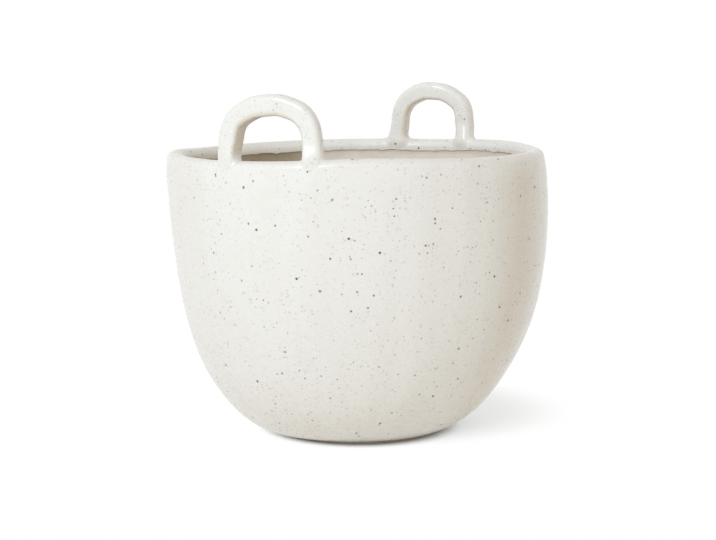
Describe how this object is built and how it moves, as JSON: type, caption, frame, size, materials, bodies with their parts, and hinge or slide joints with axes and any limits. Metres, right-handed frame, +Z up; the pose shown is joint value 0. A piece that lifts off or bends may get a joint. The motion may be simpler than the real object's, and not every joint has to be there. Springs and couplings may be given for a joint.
{
  "type": "flower pot",
  "caption": "Round stoneware flower pot with a rounded bottom on a low recessed foot, a thick rounded lip and two upright loop handles, speckled glaze outside and bare clay inside.",
  "frame": {"origin": "centre of the foot ring, on the surface that the pot stands on", "axes": "+Z up through the middle of the pot; the handles stand at -Y (front) and +Y (back), each in a plane square to Y"},
  "size_m": [0.289, 0.289, 0.2652],
  "materials": {
    "bare_clay": "unglazed fired stoneware, matte, warm beige",
    "speckled_glaze": "off-white satin glaze with dark brown iron speckles"
  },
  "bodies": {
    "root": {"foot_ring": "bare_clay", "floor_slab": "bare_clay", "wall": "bare_clay", "lip_coil": "bare_clay", "front_handle": "bare_clay", "back_handle": "bare_clay", "body_glaze": "speckled_glaze", "front_handle_glaze": "speckled_glaze", "back_handle_glaze": "speckled_glaze", "front_handle_fillets": "speckled_glaze", "back_handle_fillets": "speckled_glaze"}
  },
  "joints": []
}
